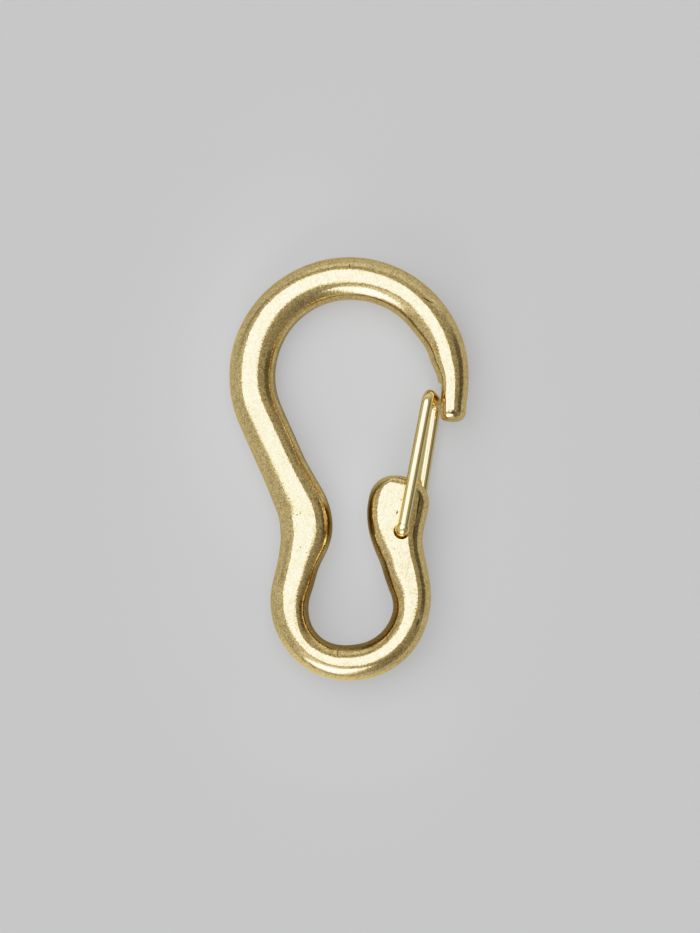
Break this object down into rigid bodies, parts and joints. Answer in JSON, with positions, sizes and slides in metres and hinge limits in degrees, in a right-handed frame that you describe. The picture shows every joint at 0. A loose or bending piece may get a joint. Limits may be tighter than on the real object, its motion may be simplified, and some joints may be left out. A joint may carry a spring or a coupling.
{
  "type": "carabiner",
  "caption": "Solid brass key carabiner: a pear-shaped cast hook with a large upper loop, a waisted spine and a small lower loop, shut by a sprung wire gate that opens inwards.",
  "frame": {"origin": "centre of the whole carabiner", "axes": "+Y from the small lower loop to the large upper loop, +X towards the gate, +Z out of the front face, through the thickness"},
  "size_m": [0.043, 0.0762, 0.0122],
  "materials": {
    "cast_brass": "cast and tumbled, satin with fine pits",
    "brass_wire": "drawn and polished"
  },
  "bodies": {
    "hook": {"hook_body": "cast_brass"},
    "gate": {"wire_gate": "brass_wire"}
  },
  "joints": [
    {"name": "gate_hinge", "type": "hinge", "parent": "hook", "child": "gate", "pos_m": [0.0107, -0.01155, 0], "axis": [0, 0, 1], "range_deg": [0, 28], "stiffness_Nm_per_rad": 0.08, "springref_deg": -11.46}
  ]
}
